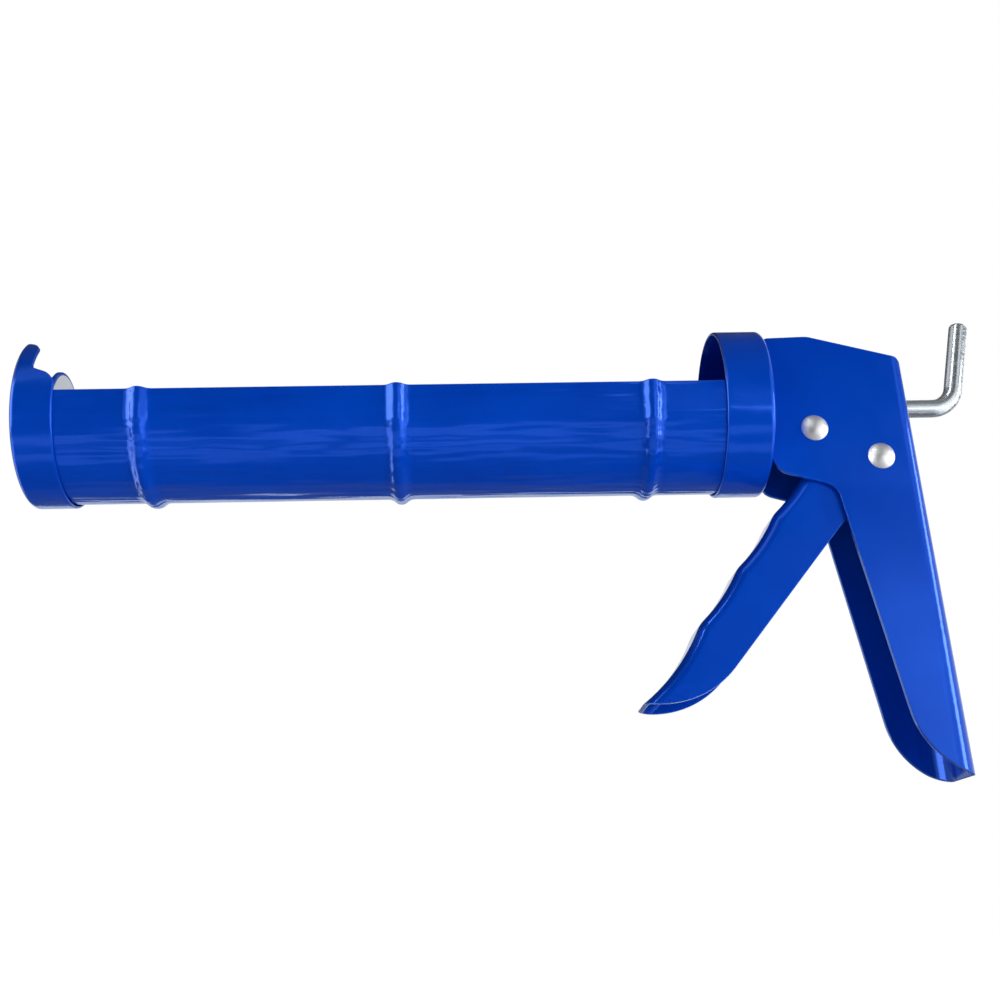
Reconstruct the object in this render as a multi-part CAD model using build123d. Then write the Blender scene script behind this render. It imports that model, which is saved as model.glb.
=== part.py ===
from build123d import *
from math import acos, asin, atan2, cos, degrees, hypot, pi, radians, sin, sqrt, tan
import os

# Caulking gun with a half-round cradle and a toothed push rod, in millimetres.
# X runs along the barrel axis from the nozzle end to the hook, Z is up and the handle hangs down.
# The origin is on the barrel axis, at the outer face of the front cap.

# Barrel: a rolled half-round cradle welded into two pressed caps
cartridge_diameter = 50.0
cartridge_room = 0.8
barrel_length = 242.0
cradle_sheet = 0.9
cradle_rise = 1.4
bead_count = 3
bead_first = 39.8
bead_last_gap = 39.2
bead_width = 9.0
bead_height = 1.8
bead_crest_r = 2.8
cap_sheet = 1.2
cap_bend_r = 1.6
cap_mouth_r = 0.7
cap_mouth_gap = 0.4
cap_mouth_flare = 2.0
weld_gap = 0.05
front_cap_depth = 13.5
rear_cap_depth = 15.6
nozzle_slot_width = 25.0
horn_depth = 5.8
horn_top = 21.5
horn_tip_r = 4.5
horn_inner_r = 3.0
shoulder_low = 6.4
shoulder_high = 9.4
shoulder_r = 6.0
shoulder_root_r = 2.0

# Handle frame: one folded sheet, its spine at the rear, open in front and on top
frame_sheet = 1.5
head_width = 25.5
handle_width = 28.5
head_bend_r = 3.0
waist_bend_r = 4.5
handle_bend_r = 8.5
spine_distance = 48.0
spine_lean = 3.15
head_front_top = 22.4
head_front_r = 3.0
head_apex_x = 15.9
head_apex_z = 22.9
head_apex_r = 8.0
head_back_x = 45.4
head_back_z = 15.1
head_back_r = 3.0
spine_top_z = 8.0
head_front_low = -19.5
head_low_x = 3.2
head_low_z = -24.9
head_low_r = 6.0
waist_x = 20.8
waist_z = -30.0
waist_r = 6.0
tip_corner_x = 38.6
tip_corner_z = -119.6
tip_corner_r = 25.3
tip_slope = 11.5
tip_end_r = 0.9
tab_height = 7.0
tab_spread = 24.0
tab_proud = 0.6
tab_fit = 0.1

# Push rod: round bar, ratchet teeth on its underside, hooked at the rear
rod_r = 3.05
rod_height = 1.3
rod_hole_gap = 0.3
tooth_pitch = 2.5
tooth_depth = 0.65
tooth_land = 0.35
tooth_flat = 0.1
teeth_front_gap = 8.0
teeth_spine_gap = 6.0
hook_corner = 66.75
hook_lean = 12.0
hook_rise = 31.0
hook_bend_r = 8.5
hook_end_r = 1.4

# Plunger on the front end of the rod: a conical cup with a disc set in its rim
plunger_r = 16.5
plunger_front_r = 13.3
plunger_back = 9.3
plunger_rim = 1.3
plunger_rim_r = 0.6
plunger_cone = 45.0
plunger_sheet = 1.05
disc_fit = 0.05
disc_proud = 0.05
spigot_r = 2.2
spigot_head_r = 3.4
spigot_head_thick = 1.3
spigot_fit = 0.05

# Rivets through the frame head
rivet_r = 2.5
rivet_head_r = 4.45
rivet_head_height = 1.9
rivet_fit = 0.05
catch_pivot_x = 15.5
catch_pivot_z = -10.0
trigger_pivot_x = 36.4
trigger_pivot_z = -20.1

# Trigger: a folded lever, closed on its finger side, with finger grooves
trigger_sheet = 1.2
trigger_side_gap = 0.5
trigger_slope = 53.3
trigger_length = 110.8
trigger_face = 18.2
trigger_bend_r = 3.6
groove_pitch = 22.4
groove_first = 13.4
groove_count = 4
groove_depth = 1.1
tip_groove_depth = 1.9
tip_flare = 0.3
groove_crest_r = 10.0
web_top = 16.5
rear_edge_top = 26.0
rear_edge_top_n = -1.5
rear_corner_back = 5.8
rear_edge_low_n = 2.7
rear_edge_r = 30.0
tip_edge_over = 2.9
head_plate_r = 2.0
pivot_eye_r = 6.5
pin_eye_r = 4.2

# Driving pawl on the trigger, holding catch on the front rivet
pawl_pin_r = 1.75
pawl_pin_back = 2.8
pawl_pin_rise = 10.6
pawl_thick = 5.0
pawl_eye_r = 3.6
pawl_reach = 9.8
pawl_tip_gap = 0.65
catch_eye_r = 4.3
catch_reach = 8.4
catch_tip_gap = 0.35
nose_r = 0.3
nose_back = 1.2
nose_depth = 4.2
nose_heel_r = 0.8
spacer_wall = 1.0
side_play = 0.15
running_fit = 0.05
sleeve_wall = 1.5

# Wire springs
trigger_wire_r = 0.6
small_wire_r = 0.4
coil_room = 0.5
coil_gap = 0.6
trigger_coil_turns = 4
small_coil_turns = 2
spring_touch = 0.05
wire_hook_r = 0.7
spine_leg_z = -36.0
cap_leg_z = 2.0
pawl_leg_over = 3.0
lift_lean = 48.0

# Sizes that follow from the ones above
bead_pitch = (barrel_length - bead_first - bead_last_gap) / (bead_count - 1)
cradle_bore_r = cartridge_diameter / 2 + cartridge_room
cradle_outer_r = cradle_bore_r + cradle_sheet
cap_bore_r = cradle_outer_r + weld_gap
cap_outer_r = cap_bore_r + cap_sheet
rear_edge_low = trigger_length - rear_corner_back
tip_edge_high = trigger_length + tip_edge_over
head_half = head_width / 2
head_inner_half = head_half - frame_sheet
trigger_half = head_inner_half - trigger_side_gap
trigger_inner_half = trigger_half - trigger_sheet
rod_hole_r = rod_r + rod_hole_gap
rod_shoulder = plunger_back + disc_proud + spigot_fit
catch_pivot = (barrel_length + catch_pivot_x, catch_pivot_z)
trigger_pivot = (barrel_length + trigger_pivot_x, trigger_pivot_z)
pawl_pin = (trigger_pivot[0] + pawl_pin_back, trigger_pivot[1] + pawl_pin_rise)
sleeve_r = rivet_r + running_fit + sleeve_wall
pawl_spacer_r = pawl_pin_r + running_fit + spacer_wall
catch_spacer_r = rivet_r + running_fit + spacer_wall
plunger_front = plunger_back - plunger_rim - (plunger_r - plunger_front_r) / tan(radians(plunger_cone))
cut_margin = 5.0
cut_gap = 0.05


def bar_x(radius, start, end):
    return Pos((start + end) / 2, 0, 0) * Rot(0, 90, 0) * Cylinder(radius, end - start)


def bar_y(radius, centre, start, end):
    return Pos(centre[0], (start + end) / 2, centre[1]) * Rot(90, 0, 0) * Cylinder(radius, end - start)


def tube_y(outer_r, bore_r, centre, start, end):
    return bar_y(outer_r, centre, start, end) - bar_y(bore_r, centre, start - 1, end + 1)


def on_rod(piece):
    # From the barrel axis up to the axis of the rod
    return Pos(0, 0, rod_height) * piece


def side_prism(outline, half):
    return extrude(Plane.XZ * outline, amount=half, both=True)


def spine_x(z):
    return barrel_length + spine_distance - z * tan(radians(spine_lean))


def cup(depth):
    # The mouth is rounded outside and flares away from the cradle inside
    outer = bar_x(cap_outer_r, 0, depth)
    outer = fillet(outer.edges().filter_by(GeomType.CIRCLE).sort_by(Axis.X)[0], cap_bend_r)
    outer = fillet(outer.edges().filter_by(GeomType.CIRCLE).sort_by(Axis.X)[-1], cap_mouth_r)
    inner = bar_x(cap_bore_r, cap_sheet, depth + cut_margin)
    inner_bend = cap_bend_r - cap_sheet
    inner = fillet(inner.edges().filter_by(GeomType.CIRCLE).sort_by(Axis.X)[0], inner_bend)
    flare = Cone(cap_bore_r, cap_bore_r + cap_mouth_gap, cap_mouth_flare)
    return outer - inner - Pos(depth - cap_mouth_flare / 2, 0, 0) * Rot(0, 90, 0) * flare


def make_front_cap():
    half = nozzle_slot_width / 2
    far = front_cap_depth + cut_margin
    high = cap_outer_r + cut_margin
    edge = FilletPolyline(
        (far, 0),
        (front_cap_depth, 0),
        (front_cap_depth, shoulder_low),
        (horn_depth, shoulder_high),
        (horn_depth, horn_top),
        (-cut_margin, horn_top),
        (-cut_margin, high),
        (far, high),
        radius=[0, 0, shoulder_r, shoulder_root_r, horn_tip_r, 0, 0, 0],
        close=True,
    )
    slot_round = bar_x(half, -cut_margin, cap_sheet + cut_margin)
    slot = FilletPolyline(
        (-high, high),
        (-high, horn_top),
        (-half, horn_top),
        (-half, 0),
        (half, 0),
        (half, horn_top),
        (high, horn_top),
        (high, high),
        radius=[0, 0, horn_inner_r, 0, 0, horn_inner_r, 0, 0],
        close=True,
    )
    slot_cut = extrude(Plane.YZ * make_face(slot), amount=far, both=True)
    return cup(front_cap_depth) - side_prism(make_face(edge), high) - slot_round - slot_cut


def frame_tabs(growth, start, end):
    y = head_half - frame_sheet / 2
    tab = Box(end - start, frame_sheet + 2 * growth, tab_height + 2 * growth)
    places = [(y, tab_spread / 2), (y, -tab_spread / 2), (-y, tab_spread / 2), (-y, -tab_spread / 2)]
    return [Pos((start + end) / 2, side, z) * tab for side, z in places]


def make_rear_cap():
    cap = Pos(barrel_length, 0, 0) * Rot(0, 0, 180) * cup(rear_cap_depth)
    wall_start = barrel_length - cap_sheet - 1
    cap -= on_rod(bar_x(rod_hole_r, wall_start, barrel_length + 1))
    for slot in frame_tabs(tab_fit, wall_start, barrel_length + 1):
        cap -= slot
    return cap


def bead_line(shift, start, end):
    # Length section of the sheet, shift inside its outer face, with outward beads of tangent arcs
    half = bead_width / 2
    radii_sum = (half**2 + bead_height**2) / (2 * bead_height)
    flank_r = radii_sum - bead_crest_r
    turn = degrees(asin(half / radii_sum))
    base = cradle_outer_r - shift
    edges = []
    x = start
    for i in range(bead_count):
        middle = bead_first + i * bead_pitch
        edges.append(Line((x, base), (middle - half, base)))
        flank_z = cradle_outer_r + flank_r
        crest = (middle, cradle_outer_r + bead_height - bead_crest_r)
        edges.append(CenterArc((middle - half, flank_z), flank_r + shift, -90, turn))
        edges.append(CenterArc(crest, bead_crest_r - shift, 90 + turn, -2 * turn))
        edges.append(CenterArc((middle + half, flank_z), flank_r + shift, -90 - turn, turn))
        x = middle + half
    edges.append(Line((x, base), (end, base)))
    return edges


def make_cradle():
    # The ends stop clear of the rounded inside corners of the caps
    start = cap_bend_r
    end = barrel_length - cap_bend_r
    section = bead_line(0, start, end) + bead_line(cradle_sheet, start, end)
    section.append(Line((start, cradle_bore_r), (start, cradle_outer_r)))
    section.append(Line((end, cradle_bore_r), (end, cradle_outer_r)))
    rise = degrees(asin(cradle_rise / cradle_outer_r))
    face = (Plane.XZ * make_face(section)).rotate(Axis.X, 90 - rise)
    return revolve(face, axis=Axis.X, revolution_arc=180 + 2 * rise)


def channel_section(z, width, bend_r, inset):
    half = width / 2 - inset
    front = barrel_length - cut_margin
    rear = spine_x(z) - inset / cos(radians(spine_lean))
    corners = [(front, -half), (rear, -half), (rear, half), (front, half)]
    bend = bend_r - inset
    outline = FilletPolyline(*corners, radius=[0, bend, bend, 0], close=True)
    return Plane.XY.offset(z) * make_face(outline)


def channel(inset):
    high = head_apex_z + cut_margin
    low = spine_low_z() - cut_margin
    top = channel_section(high, head_width, head_bend_r, inset)
    waist = channel_section(waist_z, head_width, waist_bend_r, inset)
    bottom = channel_section(low, handle_width, handle_bend_r, inset)
    return loft([top, waist], ruled=True) + loft([waist, bottom], ruled=True)


def spine_low_z():
    # Where the sloping lower edge of the handle meets the spine
    run = spine_x(tip_corner_z) - barrel_length - tip_corner_x
    return tip_corner_z - run * tan(radians(tip_slope))


def make_handle_frame():
    front = barrel_length
    far = cut_margin * 8
    far_x = front + spine_distance + far
    tip_far_z = tip_corner_z - (far_x - front - tip_corner_x) * tan(radians(tip_slope))
    back_drop = head_back_z - spine_top_z
    edge = FilletPolyline(
        (front, head_front_top),
        (front + head_apex_x, head_apex_z),
        (front + head_back_x, head_back_z),
        (front + head_back_x + back_drop, spine_top_z),
        (far_x, spine_top_z),
        (far_x, tip_far_z),
        (front + tip_corner_x, tip_corner_z),
        (front + waist_x, waist_z),
        (front + head_low_x, head_low_z),
        (front, head_front_low),
        radius=[head_front_r, head_apex_r, head_back_r, 0, 0, 0, tip_corner_r, waist_r, head_low_r, 0],
        close=True,
    )
    high = head_apex_z + cut_margin
    low = spine_low_z() - cut_margin
    before_spine = Polyline(
        (front - far, high),
        (spine_x(high) + cut_gap, high),
        (spine_x(low) + cut_gap, low),
        (front - far, low),
        close=True,
    )
    profile = make_face(edge) & make_face(before_spine)
    tip_end = sorted(profile.vertices(), key=lambda corner: corner.X - corner.Y)[-1]
    profile = fillet(tip_end, tip_end_r)
    frame = (channel(0) - channel(frame_sheet)) & side_prism(profile, handle_width)
    for tab in frame_tabs(0, front - cap_sheet - tab_proud, front + 1):
        frame += tab
    for pivot in (catch_pivot, trigger_pivot):
        frame -= bar_y(rivet_r + rivet_fit, pivot, -head_width, head_width)
    return frame - on_rod(bar_x(rod_hole_r, front + head_back_x - cut_margin, far_x))


def make_rivet(pivot):
    rivet = bar_y(rivet_r, pivot, -head_half, head_half)
    dome_r = (rivet_head_r**2 + rivet_head_height**2) / (2 * rivet_head_height)
    dome = Pos(0, 0, rivet_head_height - dome_r) * Sphere(dome_r)
    over = Pos(0, 0, dome_r / 2) * Box(2 * dome_r, 2 * dome_r, dome_r)
    head = dome & over
    far_head = Pos(pivot[0], head_half, pivot[1]) * Rot(-90, 0, 0) * head
    near_head = Pos(pivot[0], -head_half, pivot[1]) * Rot(90, 0, 0) * head
    return rivet + far_head + near_head


def trigger_plane():
    slope = radians(trigger_slope)
    along = (-cos(slope), 0, -sin(slope))
    return Plane(origin=(trigger_pivot[0], 0, trigger_pivot[1]), x_dir=along, z_dir=(0, 1, 0))


def in_trigger(point):
    local = trigger_plane().to_local_coords(Vector(point[0], 0, point[1]))
    return local.X, local.Y


def trigger_block(inset):
    # Everything behind the grooved finger face, as wide as the lever, with rounded sides and an open tip
    plane = trigger_plane()
    half = trigger_half - inset
    face_n = trigger_face - inset
    end = trigger_length
    start = -3 * pivot_eye_r - inset
    crests = [(groove_first + i * groove_pitch, face_n) for i in range(groove_count)]
    tip = (end, face_n + tip_flare)
    edges = [Line((start, face_n), crests[0])]
    for a, b in zip(crests, crests[1:]):
        edges.append(ThreePointArc(a, ((a[0] + b[0]) / 2, face_n - groove_depth), b))
    last = crests[-1]
    groove = ThreePointArc(last, ((last[0] + end) / 2, face_n + tip_flare / 2 - tip_groove_depth), tip)
    past = groove @ 1 + (groove % 1) * 2 * cut_margin
    edges.append(groove)
    edges.append(Polyline(tip, (past.X, past.Y), (past.X, start), (start, start), (start, face_n)))
    side = make_face(edges)
    crest_corners = [v for v in side.vertices() if v.Y > 0 and start + 1 < v.X < end - 1]
    side = fillet(crest_corners, groove_crest_r)
    block = extrude(plane * side, amount=half, both=True)
    rim = []
    for face in block.faces():
        if face.normal_at().dot(plane.y_dir) > 0.5:
            rim += [edge for edge in face.edges() if abs((edge % 0.5).Y) < 0.99]
    return fillet(rim, trigger_bend_r - inset)


def disc(point, radius):
    return Pos(point[0], point[1], 0) * Circle(radius)


def hull_of(*discs):
    return make_hull([edge for item in discs for edge in item.edges()])


def make_trigger():
    plane = trigger_plane()
    high = trigger_face + cut_margin
    pin = in_trigger(pawl_pin)
    lever = FilletPolyline(
        (web_top, high),
        (tip_edge_high, high),
        (rear_edge_low, rear_edge_low_n),
        (rear_edge_top, rear_edge_top_n),
        radius=[0, 0, rear_edge_r, 0],
        close=True,
    )
    front_corner = disc((web_top + head_plate_r, trigger_face - 2 * head_plate_r), head_plate_r)
    rear_corner = disc((rear_edge_top, rear_edge_top_n + head_plate_r), head_plate_r)
    head_plate = hull_of(disc((0, 0), pivot_eye_r), disc(pin, pin_eye_r), front_corner, rear_corner)
    outline = make_face(lever) + head_plate
    trigger = trigger_block(0) - trigger_block(trigger_sheet)
    trigger = trigger & extrude(plane * outline, amount=head_width, both=True)
    trigger -= bar_y(rivet_r + running_fit, trigger_pivot, -head_width, head_width)
    return trigger - bar_y(pawl_pin_r + rivet_fit, pawl_pin, -head_width, head_width)


def nose_tip(pivot, reach, gap):
    return pivot[0] - reach, rod_height - rod_r - gap


def nose_heel(pivot, reach, gap):
    tip = nose_tip(pivot, reach, gap)
    return tip[0] + nose_back, tip[1] - nose_depth


def make_pawl(pivot, eye_r, bore_r, reach, gap):
    tip = nose_tip(pivot, reach, gap)
    nose = disc((tip[0], tip[1] - nose_r), nose_r)
    heel = disc(nose_heel(pivot, reach, gap), nose_heel_r)
    outline = hull_of(disc(pivot, eye_r), nose, heel)
    pawl = side_prism(outline, pawl_thick / 2)
    return pawl - bar_y(bore_r, pivot, -pawl_thick, pawl_thick)


def spacer_pair(outer_r, bore_r, pivot, reach):
    inner = pawl_thick / 2 + side_play
    far = tube_y(outer_r, bore_r, pivot, inner, reach)
    near = tube_y(outer_r, bore_r, pivot, -reach, -inner)
    return near, far


def comb(start, end):
    # Saw teeth cut upwards into the underside: steep faces look to the rear, long slopes to the front
    crest = -(rod_r - tooth_flat)
    root = -(rod_r - tooth_depth)
    low = -(rod_r + cut_margin)
    count = int((end - start) / tooth_pitch)
    points = [(start, low)]
    for i in range(count):
        x = start + i * tooth_pitch
        points += [(x, crest), (x, root), (x + tooth_pitch - tooth_land, crest)]
    points += [(start + count * tooth_pitch, crest), (start + count * tooth_pitch, low)]
    return make_face(Polyline(*points, close=True))


def make_push_rod():
    corner = Vector(barrel_length + hook_corner, 0, 0)
    lean = radians(hook_lean)
    upward = Vector(sin(lean), 0, cos(lean))
    top = corner + upward * (hook_rise / cos(lean))
    path = FilletPolyline((rod_shoulder, 0, 0), corner, top, radius=hook_bend_r)
    rod = sweep(Plane(origin=(rod_shoulder, 0, 0), z_dir=(1, 0, 0)) * Circle(rod_r), path=path)
    rod = fillet(rod.edges().filter_by(GeomType.CIRCLE).sort_by(Axis.Z)[-1], hook_end_r)
    teeth = Plane.XZ * comb(rod_shoulder + teeth_front_gap, spine_x(0) - teeth_spine_gap)
    rod -= extrude(teeth, amount=rod_r, both=True)
    head_back = plunger_front - spigot_fit
    rod += bar_x(spigot_r, head_back - spigot_head_thick, rod_shoulder)
    head = bar_x(spigot_head_r, head_back - spigot_head_thick, head_back)
    head_rim = head.edges().filter_by(GeomType.CIRCLE).sort_by(Axis.X)[0]
    return on_rod(rod + fillet(head_rim, spigot_head_thick / 2))


def plunger_body(inset):
    # Turned outline of the cup, inset from its outside
    slope = radians(plunger_cone)
    front = plunger_front + inset
    side_r = plunger_r - inset
    shift = inset * tan(slope / 2)
    front_r = plunger_front_r - inset * tan((pi / 2 - slope) / 2)
    rim_start = plunger_back - plunger_rim + shift
    outline = Polyline(
        (front, 0),
        (front, front_r),
        (rim_start, side_r),
        (plunger_back, side_r),
        (plunger_back, 0),
        close=True,
    )
    return revolve(Plane.XZ * make_face(outline), axis=Axis.X)


def spigot_bore():
    return bar_x(spigot_r + spigot_fit, 0, barrel_length)


def make_plunger_plate():
    body = plunger_body(0)
    body = fillet(body.edges().filter_by(GeomType.CIRCLE).sort_by(Axis.X)[-1], plunger_rim_r)
    return on_rod(body - plunger_body(plunger_sheet) - spigot_bore())


def make_plunger_washer():
    # The disc rests where the cone begins inside the rim
    seat = plunger_back - plunger_rim + plunger_sheet * tan(radians(plunger_cone) / 2)
    disc_r = plunger_r - plunger_sheet - disc_fit
    return on_rod(bar_x(disc_r, seat, plunger_back + disc_proud) - spigot_bore())


def leg_from(centre, radius, point):
    # Angle where a leg that comes from the point runs onto the coil, and the leg's length
    away = hypot(point[0] - centre[0], point[1] - centre[1])
    bearing = atan2(point[1] - centre[1], point[0] - centre[0])
    return bearing + acos(radius / away), sqrt(away**2 - radius**2)


def leg_to(centre, radius, point):
    # Angle where a leg that goes to the point leaves the coil, and the leg's length
    away = hypot(point[0] - centre[0], point[1] - centre[1])
    bearing = atan2(point[1] - centre[1], point[0] - centre[0])
    return bearing - acos(radius / away), sqrt(away**2 - radius**2)


def biarc(p0, t0, p1, t1):
    # Two arcs that leave p0 along t0, reach p1 along t1 and join smoothly
    chord = p1 - p0
    along = chord.dot(t0 + t1)
    spread = 2 * (1 - t0.dot(t1))
    reach = (sqrt(along**2 + spread * chord.dot(chord)) - along) / spread
    q0 = p0 + t0 * reach
    q1 = p1 - t1 * reach
    middle = (q0 + q1) * 0.5
    return [TangentArc(p0, middle, tangent=t0), TangentArc(middle, p1, tangent=q1 - q0)]


def torsion_spring(name, centre, radius, wire_r, turns, start_leg, end_leg, y_last, y_way, hook=0):
    # A coil about a cross pin. Its legs leave along the coil's own tangents, and the end leg may hook in
    first, first_length = start_leg
    last, last_length = end_leg
    while last < first:
        last += 2 * pi
    last += 2 * pi * turns
    climb = y_way * (2 * wire_r + coil_gap) / (2 * pi)
    run = hypot(radius, climb)

    def place(angle):
        y = y_last + climb * (angle - last)
        return Vector(centre[0] + radius * cos(angle), y, centre[1] + radius * sin(angle))

    def heading(angle):
        return Vector(-radius * sin(angle) / run, climb / run, radius * cos(angle) / run)

    steps = round((last - first) / (pi / 2))
    angles = [first + (last - first) * i / steps for i in range(steps + 1)]
    begin = place(angles[0]) - heading(angles[0]) * first_length
    finish = place(angles[-1]) + heading(angles[-1]) * last_length
    edges = [Line(begin, place(angles[0]))]
    for a, b in zip(angles, angles[1:]):
        edges += biarc(place(a), heading(a), place(b), heading(b))
    if hook:
        hook_end = Vector(finish.X, finish.Y - hook, finish.Z)
        edges += FilletPolyline(place(angles[-1]), finish, hook_end, radius=wire_hook_r).edges()
    else:
        edges.append(Line(place(angles[-1]), finish))
    path = Wire(edges)
    spring = sweep(Plane(origin=begin, z_dir=heading(angles[0])) * Circle(wire_r), path=path)
    points = [path @ (i / 300) for i in range(301)]
    apart = int(pi * radius / (path.length / 300))
    pairs = [(a, b) for i, a in enumerate(points) for b in points[i + apart :]]
    gap = min((a - b).length for a, b in pairs) - 2 * wire_r
    print(name, "least gap between turns", round(gap, 2), "mm")
    return spring


def make_trigger_spring():
    radius = sleeve_r + coil_room + trigger_wire_r
    stand_off = trigger_wire_r + spring_touch
    spine_face = spine_x(spine_leg_z) - frame_sheet / cos(radians(spine_lean))
    start = leg_from(trigger_pivot, radius, (spine_face - stand_off, spine_leg_z))
    web_u = groove_first + groove_pitch / 2
    web_n = trigger_face - groove_depth - trigger_sheet - stand_off
    web_point = trigger_plane().from_local_coords((web_u, web_n, 0))
    end = leg_to(trigger_pivot, radius, (web_point.X, web_point.Z))
    pitch = 2 * trigger_wire_r + coil_gap
    y_last = pitch * (trigger_coil_turns + 0.5) / 2
    turns = trigger_coil_turns
    wire_r = trigger_wire_r
    return torsion_spring("trigger_spring", trigger_pivot, radius, wire_r, turns, start, end, y_last, 1)


def under_nose(pivot, reach, gap):
    # Point below the heel of a nose, where the spring's hooked leg lifts it
    heel = nose_heel(pivot, reach, gap)
    drop = nose_heel_r + small_wire_r + spring_touch
    return heel[0] - drop * sin(radians(lift_lean)), heel[1] - drop * cos(radians(lift_lean))


def small_spring(name, pivot, spacer_r, start, reach, gap):
    radius = spacer_r + coil_room + small_wire_r
    end = leg_to(pivot, radius, under_nose(pivot, reach, gap))
    y_last = pawl_thick / 2 + side_play + small_wire_r + coil_gap
    turns = small_coil_turns
    return torsion_spring(name, pivot, radius, small_wire_r, turns, start, end, y_last, -1, hook=y_last)


def make_catch_spring():
    radius = catch_spacer_r + coil_room + small_wire_r
    wall_point = (barrel_length + small_wire_r + spring_touch, cap_leg_z)
    start = leg_from(catch_pivot, radius, wall_point)
    return small_spring("catch_spring", catch_pivot, catch_spacer_r, start, catch_reach, catch_tip_gap)


def make_pawl_spring():
    # The start leg crosses between the coil and the sleeve and bears on the sleeve from above
    radius = pawl_spacer_r + coil_room + small_wire_r
    bearing_r = sleeve_r + small_wire_r + spring_touch
    down = (trigger_pivot[0] - pawl_pin[0], trigger_pivot[1] - pawl_pin[1])
    away = hypot(*down)
    cross = acos((radius + bearing_r) / away)
    angle = atan2(down[1], down[0]) + cross
    start = (angle, away * sin(cross) + pawl_leg_over)
    return small_spring("pawl_spring", pawl_pin, pawl_spacer_r, start, pawl_reach, pawl_tip_gap)


catch_near, catch_far = spacer_pair(catch_spacer_r, rivet_r + running_fit, catch_pivot, head_inner_half)
pawl_near, pawl_far = spacer_pair(pawl_spacer_r, pawl_pin_r + running_fit, pawl_pin, trigger_inner_half)
sleeve_reach = trigger_inner_half - side_play

pieces = {
    "front_cap": make_front_cap(),
    "cradle": make_cradle(),
    "rear_cap": make_rear_cap(),
    "handle_frame": make_handle_frame(),
    "catch_rivet": make_rivet(catch_pivot),
    "trigger_rivet": make_rivet(trigger_pivot),
    "trigger": make_trigger(),
    "trigger_sleeve": tube_y(sleeve_r, rivet_r + running_fit, trigger_pivot, -sleeve_reach, sleeve_reach),
    "trigger_spring": make_trigger_spring(),
    "drive_pawl": make_pawl(pawl_pin, pawl_eye_r, pawl_pin_r + running_fit, pawl_reach, pawl_tip_gap),
    "pawl_pin": bar_y(pawl_pin_r, pawl_pin, -trigger_half, trigger_half),
    "pawl_spacer_near": pawl_near,
    "pawl_spacer_far": pawl_far,
    "pawl_spring": make_pawl_spring(),
    "hold_catch": make_pawl(catch_pivot, catch_eye_r, rivet_r + running_fit, catch_reach, catch_tip_gap),
    "catch_spacer_near": catch_near,
    "catch_spacer_far": catch_far,
    "catch_spring": make_catch_spring(),
    "push_rod": make_push_rod(),
    "plunger_plate": make_plunger_plate(),
    "plunger_washer": make_plunger_washer(),
}

os.makedirs("parts", exist_ok=True)
for name, piece in pieces.items():
    export_step(piece, f"parts/{name}.step")
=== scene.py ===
import bmesh
import bpy
from math import cos, radians, sin
from mathutils import Matrix, Vector


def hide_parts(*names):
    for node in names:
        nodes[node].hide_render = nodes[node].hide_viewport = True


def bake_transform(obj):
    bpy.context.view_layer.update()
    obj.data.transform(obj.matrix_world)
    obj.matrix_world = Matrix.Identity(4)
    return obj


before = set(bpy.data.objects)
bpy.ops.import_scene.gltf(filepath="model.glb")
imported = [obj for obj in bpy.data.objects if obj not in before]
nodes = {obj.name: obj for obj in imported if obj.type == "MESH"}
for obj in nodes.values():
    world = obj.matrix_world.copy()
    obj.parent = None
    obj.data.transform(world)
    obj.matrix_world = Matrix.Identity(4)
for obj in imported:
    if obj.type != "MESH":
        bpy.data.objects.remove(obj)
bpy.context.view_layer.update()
scene = bpy.context.scene
scene.view_settings.view_transform = "Standard"
print("frame loaded,", len(nodes), "nodes")

# small helpers for node trees, and the values they share
noneToAll = (0.0, 1.0)
evenly = (1.0, 1.0, 1.0)
noiseSpan = (0.3, 0.7)                                  # most noise values lie in it
mixPlaces = {"first": 6, "second": 7, "result": 2}      # colour sockets of a mix node
edgeLook = {"samples": 6, "turn": (0.99, 0.80)}         # cosines where an edge begins and where it is full


def startMaterial(name):
    material = bpy.data.materials.new(name)
    material.use_nodes = True
    tree = material.node_tree
    return material, tree, tree.nodes["Principled BSDF"]


def addNode(tree, kind, **values):
    node = tree.nodes.new(kind)
    for key, value in values.items():
        setattr(node, key, value)
    return node


def join(tree, outSocket, inSocket):
    tree.links.new(outSocket, inSocket)


def combine(tree, operation, first, second):
    node = addNode(tree, "ShaderNodeMath", operation=operation)
    join(tree, first, node.inputs[0])
    join(tree, second, node.inputs[1])
    return node.outputs["Value"]


def noiseFactor(tree, scale=1.0, stretch=evenly, detail=3.0, grain=0.55):
    # noise on object coordinates, drawn out by the stretch
    coords = addNode(tree, "ShaderNodeTexCoord")
    mapping = addNode(tree, "ShaderNodeMapping")
    mapping.inputs["Scale"].default_value = stretch
    noise = addNode(tree, "ShaderNodeTexNoise")
    noise.inputs["Scale"].default_value = scale
    noise.inputs["Detail"].default_value = detail
    noise.inputs["Roughness"].default_value = grain
    join(tree, coords.outputs["Object"], mapping.inputs["Vector"])
    join(tree, mapping.outputs["Vector"], noise.inputs["Vector"])
    return noise.outputs["Fac"]


def rangeOf(tree, factor, source, target):
    spread = addNode(tree, "ShaderNodeMapRange")
    for key, value in zip(("From Min", "From Max", "To Min", "To Max"), source + target):
        spread.inputs[key].default_value = value
    join(tree, factor, spread.inputs["Value"])
    return spread.outputs["Result"]


def mixColours(tree, factor, first, second):
    # each colour is a tuple or the output of another node
    mix = addNode(tree, "ShaderNodeMix", data_type="RGBA")
    join(tree, factor, mix.inputs["Factor"])
    for place, colour in (("first", first), ("second", second)):
        socket = mix.inputs[mixPlaces[place]]
        if isinstance(colour, tuple):
            socket.default_value = (*colour, 1.0)
        else:
            join(tree, colour, socket)
    return mix.outputs[mixPlaces["result"]]


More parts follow.
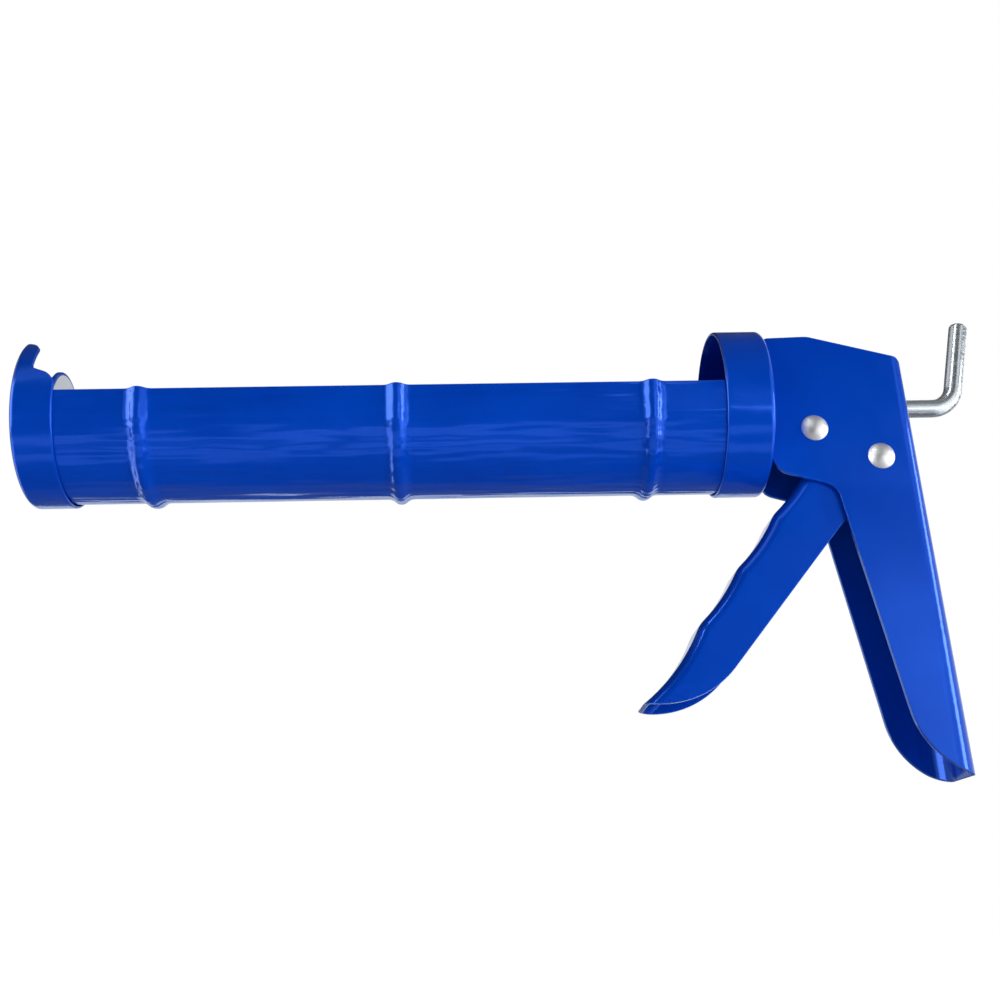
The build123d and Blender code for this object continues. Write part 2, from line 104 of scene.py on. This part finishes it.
def roundedEdges(tree, radius):
    # softened normals at sheet edges, and how strongly a point lies on an edge
    bevel = addNode(tree, "ShaderNodeBevel", samples=edgeLook["samples"])
    bevel.inputs["Radius"].default_value = radius
    geometry = addNode(tree, "ShaderNodeNewGeometry")
    compare = addNode(tree, "ShaderNodeVectorMath", operation="DOT_PRODUCT")
    join(tree, bevel.outputs["Normal"], compare.inputs[0])
    join(tree, geometry.outputs["Normal"], compare.inputs[1])
    return bevel.outputs["Normal"], rangeOf(tree, compare.outputs["Value"], edgeLook["turn"], noneToAll)


def raised(tree, height, depth, normal):
    bump = addNode(tree, "ShaderNodeBump")
    bump.inputs["Strength"].default_value = 1.0
    bump.inputs["Distance"].default_value = depth
    join(tree, height, bump.inputs["Height"])
    join(tree, normal, bump.inputs["Normal"])
    return bump.outputs["Normal"]


# blue enamel on sheet steel: rolled for the cradle, drawn for caps and plunger, folded for frame and trigger
rolledEnamel = {
    "name": "rolledBlueEnamel",
    "deepBlue": (0.0, 0.043, 0.420),
    "clearBlue": (0.0, 0.053, 0.485),
    "driftScale": 26.0,
    "driftDetail": 4.0,
    "driftSpan": (0.35, 0.65),
    # lighter blue on cut edges, in patches: painted highlight, with thinner paint there
    "litThinEdgeBlue": (0.030, 0.170, 0.800),
    "edgeRadius": 0.00045,
    "litThinScale": 240.0,
    "litThinShare": (0.45, 0.95),
    "hazeScale": 85.0,
    "hazeDetail": 5.0,
    "gloss": (0.12, 0.20),
    "flake": (0.27, 0.08),                              # on the flat, on an edge
    "specular": 0.34,
    "mirrorTint": (0.62, 0.97, 1.0),
    "refraction": 1.5,
    "reliefDetail": 1.0,
    "peelScale": 620.0,
    "peelDepth": 0.000012,
    "waveStretch": (30.0, 220.0, 220.0),
    "waveDepth": 0.00085,
}
drawnEnamel = dict(
    rolledEnamel,
    name="drawnBlueEnamel",
    gloss=(0.11, 0.18),
    waveStretch=(90.0, 120.0, 120.0),
    waveDepth=0.00024,
)
foldedEnamel = dict(
    rolledEnamel,
    name="foldedBlueEnamel",
    gloss=(0.11, 0.17),
    waveStretch=(14.0, 14.0, 14.0),
    waveDepth=0.00045,
)


def makeEnamel(look):
    material, tree, shader = startMaterial(look["name"])
    drift = noiseFactor(tree, look["driftScale"], detail=look["driftDetail"])
    driftShare = rangeOf(tree, drift, look["driftSpan"], noneToAll)
    body = mixColours(tree, driftShare, look["deepBlue"], look["clearBlue"])
    # painted highlight and thinner paint on cut edges: a lighter blue in broken patches
    edgeNormal, edgeShare = roundedEdges(tree, look["edgeRadius"])
    patches = rangeOf(tree, noiseFactor(tree, look["litThinScale"]), noiseSpan, look["litThinShare"])
    litThinEdge = combine(tree, "MULTIPLY", edgeShare, patches)
    join(tree, mixColours(tree, litThinEdge, body, look["litThinEdgeBlue"]), shader.inputs["Base Color"])
    haze = noiseFactor(tree, look["hazeScale"], detail=look["hazeDetail"])
    join(tree, rangeOf(tree, haze, noiseSpan, look["gloss"]), shader.inputs["Roughness"])
    # long waves of the sheet under the orange peel of the paint
    wave = noiseFactor(tree, stretch=look["waveStretch"], detail=look["reliefDetail"])
    sheet = raised(tree, wave, look["waveDepth"], edgeNormal)
    peel = noiseFactor(tree, look["peelScale"], detail=look["reliefDetail"])
    join(tree, raised(tree, peel, look["peelDepth"], sheet), shader.inputs["Normal"])
    join(tree, rangeOf(tree, edgeShare, noneToAll, look["flake"]), shader.inputs["Metallic"])
    shader.inputs["Specular IOR Level"].default_value = look["specular"]
    shader.inputs["Specular Tint"].default_value = (*look["mirrorTint"], 1.0)
    shader.inputs["IOR"].default_value = look["refraction"]
    return material


# bare and plated metals
metalNoise = {"grainDetail": 4.0, "grainRoughness": 0.65, "cloudDetail": 4.0}


def addSpecks(tree, body, look):
    pits = noiseFactor(tree, look["scale"], detail=look["detail"], grain=look["roughness"])
    return mixColours(tree, rangeOf(tree, pits, look["span"], noneToAll), body, look["colour"])


def addKnurl(tree, body, look):
    # short rough marks along the outer side of the hook
    coords = addNode(tree, "ShaderNodeTexCoord")
    axes = addNode(tree, "ShaderNodeSeparateXYZ")
    join(tree, coords.outputs["Normal"], axes.inputs["Vector"])
    noise = noiseFactor(tree, stretch=look["stretch"], detail=look["detail"])
    marks = rangeOf(tree, noise, look["span"], noneToAll)
    outer = rangeOf(tree, axes.outputs["X"], look["outward"], noneToAll)
    return mixColours(tree, combine(tree, "MULTIPLY", outer, marks), body, look["colour"])


def makeMetal(look):
    material, tree, shader = startMaterial(look["name"])
    grain = noiseFactor(
        tree,
        stretch=look["grainStretch"],
        detail=metalNoise["grainDetail"],
        grain=metalNoise["grainRoughness"],
    )
    cloud = noiseFactor(tree, look["cloudScale"], detail=metalNoise["cloudDetail"])
    body = mixColours(tree, rangeOf(tree, cloud, noiseSpan, noneToAll), look["dark"], look["light"])
    edgeNormal, edgeShare = roundedEdges(tree, look["edgeRadius"])
    worn = mixColours(tree, edgeShare, body, look["edge"])
    if "specks" in look:
        worn = addSpecks(tree, worn, look["specks"])
    if "knurl" in look:
        worn = addKnurl(tree, worn, look["knurl"])
    join(tree, worn, shader.inputs["Base Color"])
    join(tree, rangeOf(tree, grain, noiseSpan, look["gloss"]), shader.inputs["Roughness"])
    join(tree, raised(tree, grain, look["grainDepth"], edgeNormal), shader.inputs["Normal"])
    shader.inputs["Metallic"].default_value = look["metal"]
    return material


brightRod = {
    "name": "brightDrawnRod",
    "metal": 0.88,
    "dark": (0.55, 0.61, 0.66),
    "light": (0.71, 0.77, 0.82),
    "edge": (0.78, 0.83, 0.87),
    "gloss": (0.20, 0.32),
    "grainStretch": (40.0, 900.0, 900.0),
    "grainDepth": 0.000008,
    "cloudScale": 120.0,
    "edgeRadius": 0.00012,
    "specks": {
        "scale": 900.0,
        "detail": 2.0,
        "roughness": 0.7,
        "span": (0.70, 0.75),
        "colour": (0.34, 0.36, 0.39),
    },
    "knurl": {
        "stretch": (500.0, 500.0, 1300.0),
        "detail": 1.0,
        "span": (0.50, 0.58),
        "outward": (0.15, 0.55),
        "colour": (0.30, 0.31, 0.33),
    },
}
rivetSteel = {
    "name": "domedRivetSteel",
    "metal": 0.85,
    "dark": (0.62, 0.63, 0.64),
    "light": (0.78, 0.79, 0.79),
    "edge": (0.84, 0.85, 0.85),
    "gloss": (0.36, 0.50),
    "grainStretch": (420.0, 420.0, 420.0),
    "grainDepth": 0.000010,
    "cloudScale": 260.0,
    "edgeRadius": 0.00025,
}
plungerZinc = {
    "name": "plungerZincPlate",
    "metal": 0.72,
    "dark": (0.60, 0.63, 0.67),
    "light": (0.72, 0.75, 0.79),
    "edge": (0.78, 0.80, 0.83),
    "gloss": (0.48, 0.62),
    "grainStretch": (200.0, 1600.0, 90.0),
    "grainDepth": 0.000014,
    "cloudScale": 140.0,
    "edgeRadius": 0.00040,
}
pinSteel = {
    "name": "turnedPinSteel",
    "metal": 1.00,
    "dark": (0.46, 0.47, 0.48),
    "light": (0.58, 0.59, 0.60),
    "edge": (0.70, 0.71, 0.72),
    "gloss": (0.20, 0.34),
    "grainStretch": (300.0, 2400.0, 300.0),
    "grainDepth": 0.000006,
    "cloudScale": 180.0,
    "edgeRadius": 0.00025,
}
hardenedSteel = {
    "name": "oiledHardSteel",
    "metal": 1.00,
    "dark": (0.070, 0.068, 0.070),
    "light": (0.150, 0.145, 0.140),
    "edge": (0.38, 0.37, 0.36),
    "gloss": (0.28, 0.46),
    "grainStretch": (700.0, 120.0, 700.0),
    "grainDepth": 0.000010,
    "cloudScale": 220.0,
    "edgeRadius": 0.00035,
}
springWire = {
    "name": "patentedSpringWire",
    "metal": 1.00,
    "dark": (0.20, 0.20, 0.21),
    "light": (0.36, 0.36, 0.37),
    "edge": (0.50, 0.50, 0.50),
    "gloss": (0.22, 0.38),
    "grainStretch": (900.0, 900.0, 900.0),
    "grainDepth": 0.000006,
    "cloudScale": 500.0,
    "edgeRadius": 0.00010,
}

finishes = {
    "rolled": makeEnamel(rolledEnamel),
    "drawn": makeEnamel(drawnEnamel),
    "folded": makeEnamel(foldedEnamel),
    "rod": makeMetal(brightRod),
    "rivet": makeMetal(rivetSteel),
    "zinc": makeMetal(plungerZinc),
    "pin": makeMetal(pinSteel),
    "hard": makeMetal(hardenedSteel),
    "wire": makeMetal(springWire),
}
print("finishes made,", len(finishes))

nodeFinish = {
    "front_cap": "drawn",
    "cradle": "rolled",
    "rear_cap": "drawn",
    "handle_frame": "folded",
    "trigger": "folded",
    "catch_rivet": "rivet",
    "trigger_rivet": "rivet",
    "trigger_sleeve": "pin",
    "pawl_pin": "pin",
    "pawl_spacer_near": "pin",
    "pawl_spacer_far": "pin",
    "catch_spacer_near": "pin",
    "catch_spacer_far": "pin",
    "drive_pawl": "hard",
    "hold_catch": "hard",
    "push_rod": "rod",
    "plunger_plate": "drawn",
    "plunger_washer": "zinc",
}
for nodeName, finish in nodeFinish.items():
    mesh = nodes[nodeName].data
    mesh.materials.clear()
    mesh.materials.append(finishes[finish])
print("finishes on", len(nodeFinish), "nodes")

# wound springs: merged, smooth shaded copies of the spring nodes, in place of the nodes
springs = [
    {
        "node": "trigger_spring",
        "still": "frame",
        "turning": "trigger",
        "stillEnd": (0.2784, -0.00366, -0.0201),
        "turningEnd": (0.2784, 0.00405, -0.0201),
    },
    {
        "node": "pawl_spring",
        "still": "trigger",
        "turning": "pawl",
        "stillEnd": (0.2812, 0.00708, -0.0095),
        "turningEnd": (0.2812, 0.00365, -0.0095),
    },
    {
        "node": "catch_spring",
        "still": "frame",
        "turning": "catch",
        "stillEnd": (0.2575, 0.00740, -0.0100),
        "turningEnd": (0.2575, 0.00365, -0.0100),
    },
]
springShade = {"mergeGap": 0.000002, "sharpAngle": 50.0}


def windSpring(spring):
    mesh = nodes[spring["node"]].data.copy()
    shape = bmesh.new()
    shape.from_mesh(mesh)
    bmesh.ops.remove_doubles(shape, verts=shape.verts, dist=springShade["mergeGap"])
    for face in shape.faces:
        face.smooth = True
    shape.to_mesh(mesh)
    shape.free()
    if "custom_normal" in mesh.attributes:
        mesh.attributes.remove(mesh.attributes["custom_normal"])
    mesh.set_sharp_from_angle(angle=radians(springShade["sharpAngle"]))
    mesh.materials.clear()
    mesh.materials.append(finishes["wire"])
    piece = bpy.data.objects.new("wound_" + spring["node"], mesh)
    scene.collection.objects.link(piece)
    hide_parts(spring["node"])
    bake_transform(piece)


for spring in springs:
    windSpring(spring)
print("springs wound,", len(springs))

# camera at the photograph's angle, a little below the gun
cameraLook = {
    "lens": 46.764,
    "sensor": 36.0,
    "clip": (0.01, 60.0),
    "place": (0.14203, -0.40666, -0.16494),
    "yaw": 0.02807,
    "tilt": -0.32289,
    "twist": -0.016716,
}


def makeCamera(look):
    data = bpy.data.cameras.new("photoCamera")
    data.lens = look["lens"]
    data.sensor_width = look["sensor"]
    data.clip_start, data.clip_end = look["clip"]
    turn = (Matrix.Rotation(look["yaw"], 3, "Z") @ Matrix.Rotation(look["tilt"], 3, "X")).transposed()
    level = cos(look["twist"])
    lean = sin(look["twist"])
    sideAxis = turn @ Vector((level, 0.0, lean))
    topAxis = turn @ Vector((-lean, 0.0, level))
    backAxis = turn @ Vector((0.0, -1.0, 0.0))
    axes = Matrix((sideAxis, topAxis, backAxis)).transposed()
    camera = bpy.data.objects.new("photoCamera", data)
    camera.matrix_world = Matrix.Translation(look["place"]) @ axes.to_4x4()
    scene.collection.objects.link(camera)
    scene.camera = camera


makeCamera(cameraLook)
print("camera placed")

# pale floor, white surround, soft lamps, and glowing cards that paint reflections on the enamel and the rod
aim = Vector((0.16, 0.0, -0.03))                        # about the middle of the gun
down = (0.0, 0.0, -1.0)
up = (0.0, 0.0, 1.0)
forward = (0.0, -1.0, 0.0)                              # towards the camera's side
backward = (0.0, 1.0, 0.0)
stageLook = {
    "floorHeight": -0.235,
    "floorSize": (9.0, 9.0),
    "floorPaint": (0.80, 0.80, 0.80),
    "floorGlow": (0.42, 1.0),                           # near the gun, far from it
    "glowReach": (0.30, 0.85),                          # the glow grows between these distances
    "surroundLight": (0.03, 1.0),                       # on surfaces, to the eye
}
# a lamp that is not mirrored shows in no reflection, one without lighting shows only there
lamps = [
    {"name": "keyBox", "place": (1.25, -0.30, 0.10), "size": (0.30, 0.8), "power": 7.0},
    {"name": "frontBox", "place": (0.75, -1.05, 0.00), "size": (0.9, 0.6), "power": 11.5, "mirrored": False},
    {"name": "lowBox", "place": (0.02, -0.25, -0.228), "faces": up,
     "size": (0.45, 0.2), "power": 0.8, "mirrored": False},
    {"name": "overheadBox", "place": (0.30, 0.05, 1.10), "size": (1.0, 0.6), "power": 2.0, "mirrored": False},
    {"name": "backBox", "place": (-0.10, 1.05, 0.30), "size": (0.9, 0.6), "power": 10.0, "mirrored": False},
    {"name": "slantStrip", "place": (-0.25, -0.58, 0.80), "roll": -24.5,
     "size": (0.08, 0.73), "power": 2.8, "lighting": False},
    {"name": "leftPanel", "place": (-0.87, -0.41, 0.20),
     "size": (0.79, 0.80), "power": 11.0, "lighting": False},
]
cards = [
    {"name": "cardAbove", "place": (0.16, -0.28, 1.30), "faces": down, "size": (2.6, 2.5), "shade": 0.12},
    {"name": "cardFront", "place": (-0.015, -1.45, 0.68), "faces": backward,
     "size": (1.47, 1.84), "shade": 0.03},
    # a dark card that paints a dark reflection on the front cap in place of the slant strip's
    {"name": "cardNear", "place": (-0.10, -0.20, 0.30), "faces": (0.11, 0.20, -0.27),
     "size": (0.24, 0.20), "shade": 0.03},
    {"name": "cardRight", "place": (0.80, -1.45, 1.06), "faces": backward,
     "size": (0.16, 1.08), "shade": 0.03},
    {"name": "cardStep", "place": (1.07, -1.45, 0.45), "faces": backward, "size": (0.70, 0.14), "shade": 0.4},
    {"name": "cardSide", "place": (1.07, -1.45, 0.07), "faces": backward, "size": (0.70, 0.62), "shade": 1.5},
    {"name": "cardLow", "place": (-0.025, -0.89, -0.233), "faces": up, "size": (0.95, 1.12), "shade": 0.03},
    {"name": "cardMid", "place": (0.125, -0.18, -0.233), "faces": up, "size": (0.65, 0.075), "shade": 0.03},
    {"name": "cardBand", "place": (0.125, -0.15, -0.234), "faces": up, "size": (0.65, 0.50), "shade": 0.70},
    {"name": "cardUnder", "place": (0.15, 0.01, -0.233), "faces": up, "size": (0.60, 0.185), "shade": 0.08},
    {"name": "cardBehind", "place": (0.15, 0.50, -0.233), "faces": up, "size": (2.9, 0.80), "shade": 0.22},
    # these three paint the hook's reflections: a white stripe with grey on either side
    {"name": "cardHook", "place": (0.20, -0.10, 0.067), "faces": (0.11, 0.10, -0.049),
     "size": (0.125, 0.05), "shade": 1.3},
    {"name": "cardHookLeft", "place": (0.20, -0.03, 0.067), "faces": (0.11, 0.03, -0.049),
     "size": (0.10, 0.05), "shade": 0.40},
    {"name": "cardHookRight", "place": (0.40, -0.03, 0.060), "faces": (-0.09, 0.03, -0.042),
     "size": (0.12, 0.05), "shade": 0.30},
    {"name": "cardLeft", "place": (-0.54, 0.04, -0.232), "faces": up, "size": (0.66, 0.62), "shade": 3.2},
    {"name": "cardBack", "place": (-0.35, 0.90, 0.81), "faces": forward, "size": (1.9, 0.78), "shade": 0.07},
]


def whiteForLooking(tree, litSeen):
    # the first value lights surfaces, the second meets the camera, mirrors and glass
    path = addNode(tree, "ShaderNodeLightPath")
    plain = combine(tree, "MAXIMUM", path.outputs["Is Camera Ray"], path.outputs["Is Glossy Ray"])
    looking = combine(tree, "MAXIMUM", plain, path.outputs["Is Transmission Ray"])
    return rangeOf(tree, looking, noneToAll, litSeen)


def facing(place, way):
    # puts a sheet at its place with its front along the way
    return Matrix.Translation(place) @ Vector(way).to_track_quat("-Z", "Y").to_matrix().to_4x4()


def makeSheet(name, material, size, matrix):
    halfSide = 0.5                                      # of a grid one metre across
    shape = bmesh.new()
    bmesh.ops.create_grid(shape, x_segments=1, y_segments=1, size=halfSide)
    bmesh.ops.scale(shape, verts=shape.verts, vec=(*size, 1.0))
    bmesh.ops.transform(shape, verts=shape.verts, matrix=matrix)
    mesh = bpy.data.meshes.new(name)
    shape.to_mesh(mesh)
    shape.free()
    mesh.materials.append(material)
    sheet = bpy.data.objects.new(name, mesh)
    scene.collection.objects.link(sheet)
    return sheet


def makeFloor(look):
    material, tree, shader = startMaterial("paleFloor")
    tree.nodes.remove(shader)
    paint = addNode(tree, "ShaderNodeBsdfDiffuse")
    paint.inputs["Color"].default_value = (*look["floorPaint"], 1.0)
    coords = addNode(tree, "ShaderNodeTexCoord")
    away = addNode(tree, "ShaderNodeVectorMath", operation="LENGTH")
    join(tree, coords.outputs["Object"], away.inputs[0])
    reach = rangeOf(tree, away.outputs["Value"], look["glowReach"], look["floorGlow"])
    glow = addNode(tree, "ShaderNodeEmission")
    fade = combine(tree, "MULTIPLY", reach, whiteForLooking(tree, noneToAll))
    join(tree, fade, glow.inputs["Strength"])
    both = addNode(tree, "ShaderNodeAddShader")
    join(tree, glow.outputs["Emission"], both.inputs[0])
    join(tree, paint.outputs["BSDF"], both.inputs[1])
    join(tree, both.outputs["Shader"], tree.nodes["Material Output"].inputs["Surface"])
    level = Matrix.Translation((aim.x, aim.y, look["floorHeight"]))
    floor = makeSheet("floor", material, look["floorSize"], level)


def makeSurround(look):
    world = bpy.data.worlds.new("whiteSurround")
    world.use_nodes = True
    tree = world.node_tree
    sky = tree.nodes["Background"]
    sky.inputs["Color"].default_value = (1.0, 1.0, 1.0, 1.0)
    join(tree, whiteForLooking(tree, look["surroundLight"]), sky.inputs["Strength"])
    scene.world = world


def makeLamp(look):
    data = bpy.data.lights.new(look["name"], "AREA")
    data.shape = "RECTANGLE"
    data.size, data.size_y = look["size"]
    data.energy = look["power"]
    lamp = bpy.data.objects.new(look["name"], data)
    way = look.get("faces", aim - Vector(look["place"]))
    roll = Matrix.Rotation(radians(look.get("roll", 0.0)), 4, "Z")
    lamp.matrix_world = facing(look["place"], way) @ roll
    lamp.visible_camera = False
    lamp.visible_glossy = look.get("mirrored", True)
    lamp.visible_diffuse = look.get("lighting", True)
    scene.collection.objects.link(lamp)


def makeCard(look):
    # a glowing card that only shows in reflections, as a painted reflection; its shade sets how bright it
    # glows
    material, tree, shader = startMaterial("glowingReflectionCard")
    tree.nodes.remove(shader)
    glow = addNode(tree, "ShaderNodeEmission")
    glow.inputs["Strength"].default_value = look["shade"]
    join(tree, glow.outputs["Emission"], tree.nodes["Material Output"].inputs["Surface"])
    card = makeSheet(look["name"], material, look["size"], facing(look["place"], look["faces"]))
    card.visible_camera = False
    card.visible_diffuse = False
    card.visible_shadow = False
    card.visible_transmission = False


makeFloor(stageLook)
makeSurround(stageLook)
for lamp in lamps:
    makeLamp(lamp)
for card in cards:
    makeCard(card)
print("stage set,", len(lamps), "lamps,", len(cards), "cards")
